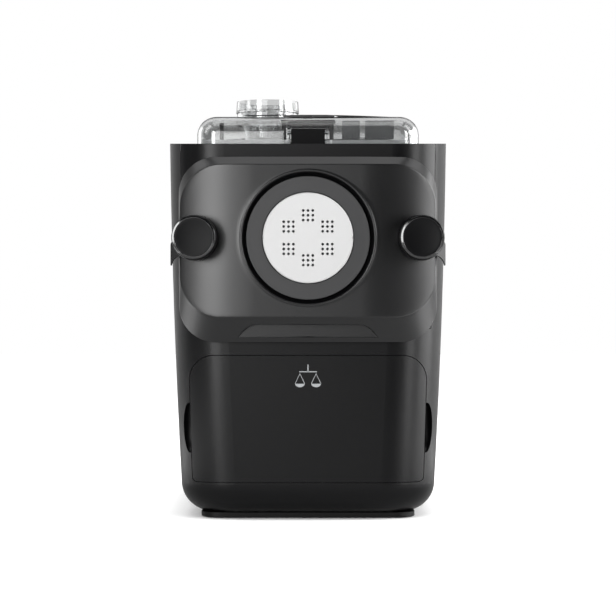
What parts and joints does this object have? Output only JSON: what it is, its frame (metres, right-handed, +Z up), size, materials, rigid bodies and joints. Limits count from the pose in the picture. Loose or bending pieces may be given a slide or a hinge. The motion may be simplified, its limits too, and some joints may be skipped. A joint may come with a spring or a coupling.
{
  "type": "electric pasta maker",
  "caption": "Upright electric pasta maker with a clear hinged lid and pouring cup, a lift-off front plate locked by knobs round a shaping disc, and a storage drawer below.",
  "frame": {"origin": "on the floor, under the middle of the machine", "axes": "+X to the right seen from the front, +Y from the front towards the back, +Z up"},
  "size_m": [0.2238, 0.364, 0.3384],
  "materials": {
    "satin_black_abs": "satin",
    "graphite_abs": "matte",
    "ivory_pom": "satin",
    "clear_polycarbonate": "clear gloss",
    "grey_polypropylene": "matte",
    "white_acetal": "matte",
    "silicone_rubber": "matte",
    "soft_rubber": "matte",
    "turned_steel": "machined",
    "pressed_steel": "plain",
    "cast_aluminium": "as cast",
    "brass": "machined",
    "circuit_board": "satin",
    "smoked_window": "gloss",
    "black_gloss_abs": "gloss"
  },
  "bodies": {
    "machine": {"front_fascia": "satin_black_abs", "body_shell": "satin_black_abs", "base_pan": "graphite_abs", "rubber_feet": "soft_rubber", "load_cells": "cast_aluminium", "case_screws": "turned_steel", "cord_gland": "soft_rubber", "top_deck": "satin_black_abs", "mixing_chamber": "clear_polycarbonate", "chamber_gasket": "silicone_rubber", "extrusion_tube": "grey_polypropylene", "tube_seal": "silicone_rubber", "shaft_seal": "silicone_rubber", "chamber_shelf": "graphite_abs", "bulkhead": "pressed_steel", "gearbox_case": "cast_aluminium", "gearbox_cover": "cast_aluminium", "shaft_bearings": "turned_steel", "middle_gear_pin": "turned_steel", "motor_can": "pressed_steel", "motor_cradle": "graphite_abs", "power_board": "circuit_board", "locking_studs": "turned_steel", "drawer_rails": "graphite_abs", "hinge_pins": "turned_steel", "console_shell": "satin_black_abs", "display_window": "smoked_window", "display_board": "circuit_board", "button_mat": "silicone_rubber", "lid_switch": "black_gloss_abs"},
    "mixer": {"drive_shaft": "turned_steel", "output_gear": "white_acetal", "mixing_paddle": "white_acetal", "extrusion_screw": "grey_polypropylene"},
    "middle_gear": {"middle_gear": "white_acetal"},
    "rotor": {"motor_rotor": "turned_steel", "motor_pinion": "turned_steel", "motor_fan": "black_gloss_abs"},
    "front_plate": {"front_plate": "satin_black_abs", "plate_ring": "graphite_abs", "shaping_disc": "ivory_pom"},
    "drawer": {"drawer_front": "satin_black_abs", "drawer_box": "graphite_abs"},
    "lid": {"lid_shell": "clear_polycarbonate", "inlet_collar": "clear_polycarbonate", "latch_pin": "turned_steel"},
    "latch": {"lid_latch": "black_gloss_abs"},
    "cup": {"pouring_cup": "clear_polycarbonate"},
    "knob_left_thrust": {"thrust_washer_left": "white_acetal"},
    "knob_left": {"knob_grip_left": "satin_black_abs", "knob_insert_left": "brass", "knob_clip_left": "turned_steel"},
    "knob_right_thrust": {"thrust_washer_right": "white_acetal"},
    "knob_right": {"knob_grip_right": "satin_black_abs", "knob_insert_right": "brass", "knob_clip_right": "turned_steel"},
    "button_1": {"button_1": "graphite_abs"},
    "button_2": {"button_2": "graphite_abs"},
    "button_3": {"button_3": "graphite_abs"},
    "button_4": {"button_4": "graphite_abs"}
  },
  "joints": [
    {"name": "front_plate_pull", "type": "slide", "parent": "machine", "child": "front_plate", "axis": [0, -1, 0], "range_m": [0, 0.08]},
    {"name": "knob_left_rise", "type": "slide", "parent": "front_plate", "child": "knob_left_thrust", "axis": [0, -1, 0], "range_m": [0, 0.0076]},
    {"name": "knob_left_turn", "type": "hinge", "parent": "knob_left_thrust", "child": "knob_left", "pos_m": [-0.089, -0.17, 0.2233], "axis": [0, -1, 0], "range_deg": [0, 1080]},
    {"name": "knob_right_rise", "type": "slide", "parent": "front_plate", "child": "knob_right_thrust", "axis": [0, -1, 0], "range_m": [0, 0.0076]},
    {"name": "knob_right_turn", "type": "hinge", "parent": "knob_right_thrust", "child": "knob_right", "pos_m": [0.089, -0.17, 0.2233], "axis": [0, -1, 0], "range_deg": [0, 1080]},
    {"name": "drawer_slide", "type": "slide", "parent": "machine", "child": "drawer", "axis": [0, -1, 0], "range_m": [0, 0.15]},
    {"name": "lid_hinge", "type": "hinge", "parent": "machine", "child": "lid", "pos_m": [0, 0.0505, 0.3153], "axis": [-1, 0, 0], "range_deg": [0, 78]},
    {"name": "latch_press", "type": "hinge", "parent": "lid", "child": "latch", "pos_m": [0, -0.1185, 0.3093], "axis": [-1, 0, 0], "range_deg": [0, 12], "stiffness_Nm_per_rad": 0.02, "springref_deg": -17.19},
    {"name": "cup_lift", "type": "slide", "parent": "lid", "child": "cup", "axis": [0, 0, 1], "range_m": [0, 0.05]},
    {"name": "mixer_spin", "type": "hinge", "parent": "machine", "child": "mixer", "pos_m": [0, 0, 0.2233], "axis": [0, 1, 0], "continuous": true},
    {"name": "middle_gear_spin", "type": "hinge", "parent": "machine", "child": "middle_gear", "pos_m": [0, 0.06, 0.1513], "axis": [0, 1, 0], "continuous": true},
    {"name": "rotor_spin", "type": "hinge", "parent": "machine", "child": "rotor", "pos_m": [0, 0.1, 0.1093], "axis": [0, 1, 0], "continuous": true},
    {"name": "button_1_press", "type": "slide", "parent": "machine", "child": "button_1", "axis": [0, 0, -1], "range_m": [0, 0.0012], "stiffness_N_per_m": 300, "springref_m": -0.0006},
    {"name": "button_2_press", "type": "slide", "parent": "machine", "child": "button_2", "axis": [0, 0, -1], "range_m": [0, 0.0012], "stiffness_N_per_m": 300, "springref_m": -0.0006},
    {"name": "button_3_press", "type": "slide", "parent": "machine", "child": "button_3", "axis": [0, 0, -1], "range_m": [0, 0.0012], "stiffness_N_per_m": 300, "springref_m": -0.0006},
    {"name": "button_4_press", "type": "slide", "parent": "machine", "child": "button_4", "axis": [0, 0, -1], "range_m": [0, 0.0012], "stiffness_N_per_m": 300, "springref_m": -0.0006}
  ],
  "couplings": [
    {"joint": "knob_left_rise", "follows": "knob_left_turn", "m_per_rad": 0.00039789},
    {"joint": "knob_right_rise", "follows": "knob_right_turn", "m_per_rad": 0.00039789},
    {"joint": "middle_gear_spin", "follows": "mixer_spin", "ratio": -3.5},
    {"joint": "rotor_spin", "follows": "mixer_spin", "ratio": 12.833}
  ]
}
